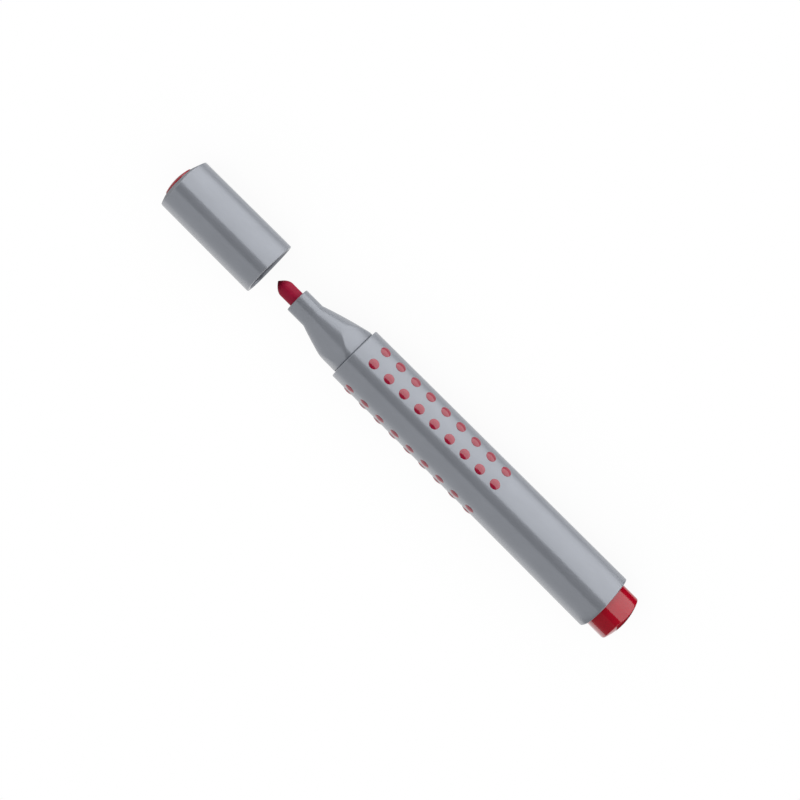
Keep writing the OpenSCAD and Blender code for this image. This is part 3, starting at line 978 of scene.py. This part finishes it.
# %% [markdown]
# A long softbox stands low on the camera's right, and a bright sheet lies on the table in front
# of it. Their straight edges, seen in the satin plastic, draw the crisp light band along the
# marker. The lamps aren't seen by the camera itself, only by the surfaces.

# %% Lamps
def panel(name, centre, turn_x, width, height, radiance):
    """A rectangular lamp, turned about X; its power follows from its radiance and its area."""
    data = bpy.data.lights.new(name, "AREA")
    data.shape = "RECTANGLE"
    data.size = width
    data.size_y = height
    data.energy = radiance * width * height * math.pi
    lamp = bpy.data.objects.new(name, data)
    lamp.location = centre
    lamp.rotation_euler = (turn_x, 0, 0)
    lamp.visible_camera = False
    bpy.context.scene.collection.objects.link(lamp)
    return lamp


BOX_KEY = 1.2
SHEET_KEY = 1.4
BOX_DISTANCE = 1.0
BOX_EDGE = math.radians(29.6)
BOX_TOP = math.tan(BOX_EDGE) * BOX_DISTANCE
BOX_LENGTH = 2.4
SHEET_START = 0.0238
SHEET_DEPTH = BOX_DISTANCE - SHEET_START
SHEET_RISE = 0.0004
box_centre = (0, -BOX_DISTANCE, BOX_TOP / 2)
sheet_centre = (0, -(SHEET_START + SHEET_DEPTH / 2), SHEET_RISE)
box = panel("standing_softbox", box_centre, math.pi / 2, BOX_LENGTH, BOX_TOP, BOX_KEY)
sheet = panel("table_sheet", sheet_centre, math.pi, BOX_LENGTH, SHEET_DEPTH, SHEET_KEY)
print("lamps:", box.name, sheet.name)

# %% [markdown]
# A room that is white all round would wash the gloss out, so photographers hang a dark grey card
# over glossy plastic. It spans the view from the softbox almost to the zenith, as part of a
# cylinder about the marker, and gives the top corner its dark band. A grey strip on the table,
# between the marker and the bright sheet, draws the soft dark line along the lower edge. The
# polished plug gets a black strip, and a dark flag that curves over its far side, where it would
# mirror the white room. Two more dark pieces lie past the ends, for the crown of the cap and the
# dome of the plug. The camera sees none of them, and only the large card dims matt surfaces.

# %% Helpers for cards
STRIP_Z = -0.00001
STRIP_NEAR = -0.0165


def card(name, points, level, lit=False):
    """A surface over a grid of points (n, 2, xyz) with an even glow; lit if matt pieces see it."""
    i = np.arange(len(points) - 1) * 2
    quads = np.stack([i, i + 1, i + 3, i + 2], axis=-1)
    mesh = bpy.data.meshes.new(name)
    mesh.from_pydata(points.reshape(-1, 3), [], quads.tolist())
    made = bpy.data.objects.new(name, mesh)
    made.visible_camera = False
    made.visible_shadow = False
    made.visible_diffuse = lit
    bpy.context.scene.collection.objects.link(made)
    cloth, tree, surface = bare_material(name)
    tree.links.new(white_glow(tree, level).socket, surface)
    mesh.materials.append(cloth)
    return made


def arch(radius, start, end, x0, x1):
    """Part of a cylinder about X, from one elevation to another: (x, -R cos a, R sin a)."""
    a, x = np.meshgrid(np.linspace(start, end, 25), [x0, x1], indexing="ij")
    return np.stack([x, -radius * np.cos(a), radius * np.sin(a)], axis=-1)


def strip(x0, x1, y0=-SHEET_START, y1=STRIP_NEAR):
    """A flat piece on the table, by default between the sheet's edge and the marker."""
    y, x = np.meshgrid([y0, y1], [x0, x1], indexing="ij")
    return np.stack([x, y, 0 * x + STRIP_Z], axis=-1)


# %% [markdown]
# Each card's level is its glow, from 0 for black to 1 for the white of the room. The grey strip
# is the lightest, because the dark line along the marker's foot is a soft one.

# %% Dark cards
CARD_DISTANCE = BOX_DISTANCE / math.cos(BOX_EDGE)
CARD_HALF = 1.4
CARD_END = math.radians(82.6)
CARD_LEVEL = 0.12
STRIP_END = 0.1
STRIP_LEVEL = 0.62
BLACK_NEAR = -0.012
BLACK = 0.03
END_DEPTH = 0.03
END_LEVEL = 0.3
PLUG_END_FAR = 0.006
FLAG_DISTANCE = 0.028
FLAG_END = math.radians(177)
FLAG_START = REAR - 0.001
FLAG_STOP = PLUG_END - 0.2
FLAG_LEVEL = 0.25
sky = arch(CARD_DISTANCE, BOX_EDGE, CARD_END, -CARD_HALF, CARD_HALF)
behind = arch(FLAG_DISTANCE, CARD_END, FLAG_END, FLAG_STOP, FLAG_START)
past_cap = strip(CAP_END, CAP_END + END_DEPTH, STRIP_NEAR, -STRIP_NEAR)
past_plug = strip(PLUG_END - END_DEPTH, PLUG_END, STRIP_NEAR, PLUG_END_FAR)
cards = [
    card("dark_card", sky, CARD_LEVEL, lit=True),
    card("grey_strip", strip(FLAG_START, STRIP_END), STRIP_LEVEL),
    card("black_strip", strip(-STRIP_END, FLAG_START, y1=BLACK_NEAR), BLACK),
    card("black_flag", behind, FLAG_LEVEL),
    card("cap_end_strip", past_cap, END_LEVEL),
    card("plug_end_strip", past_plug, BLACK),
]
print("cards:", ", ".join(made.name for made in cards))

# %% [markdown]
# The room behind is white for the camera and for the gloss of the marker. Only the soft light
# that it casts on matt surfaces is kept at a lower, plain level, so that the greys stay grey.

# %% Room
ROOM_LEVEL = 0.75
RAY_KINDS = ("Camera", "Glossy", "Transmission")


def seen_rays(tree):
    """One for rays that show the white background: from the camera, off gloss or through glass."""
    return sum(node(tree, "ShaderNodeLightPath", output="Is %s Ray" % kind) for kind in RAY_KINDS)


world = bpy.data.worlds.new("room")
bpy.context.scene.world = world
world.use_nodes = True
strength = ROOM_LEVEL + (1 - ROOM_LEVEL) * seen_rays(world.node_tree)
background = world.node_tree.nodes["Background"]
background.inputs["Color"].default_value = (1, 1, 1, 1)
world.node_tree.links.new(strength.socket, background.inputs["Strength"])
print("room:", world.name, "at", ROOM_LEVEL, "for matt surfaces")

# %% [markdown]
# The floor is a pale matt table. The camera and the gloss of the marker see it white, dimmed
# only by a soft contact shadow close to the marker, and the diffuse light that goes round in
# the scene meets plain matt paint.

# %% Floor
FLOOR_HALF = 3.0
FLOOR_Z = -0.00002
FLOOR_TONE = (0.75, 0.75, 0.76, 1)
CONTACT_SHADOW = 0.07
CONTACT_REACH = 0.03
floor_mesh = bpy.data.meshes.new("floor")
corners = FLOOR_HALF * np.array([(-1, -1, 0), (1, -1, 0), (1, 1, 0), (-1, 1, 0)])
floor_mesh.from_pydata(corners + [0, 0, FLOOR_Z], [], [(0, 1, 2, 3)])
floor = bpy.data.objects.new("floor", floor_mesh)
bpy.context.scene.collection.objects.link(floor)
paint, tree, surface = bare_material("pale_table")
matt = node(tree, "ShaderNodeBsdfDiffuse", sockets={"Color": FLOOR_TONE})
reach = {"Distance": CONTACT_REACH}
contact = node(tree, "ShaderNodeAmbientOcclusion", {"samples": 16}, reach, output="AO")
glow = white_glow(tree, 1 - CONTACT_SHADOW * (1 - contact))
mixed = node(tree, "ShaderNodeMixShader", sockets={0: seen_rays(tree), 1: matt, 2: glow})
tree.links.new(mixed.socket, surface)
floor_mesh.materials.append(paint)
print("floor:", floor.name, "with", paint.name)

# %% [markdown]
# Last come the view settings.

# %% Finish
bpy.context.scene.view_settings.view_transform = "Standard"
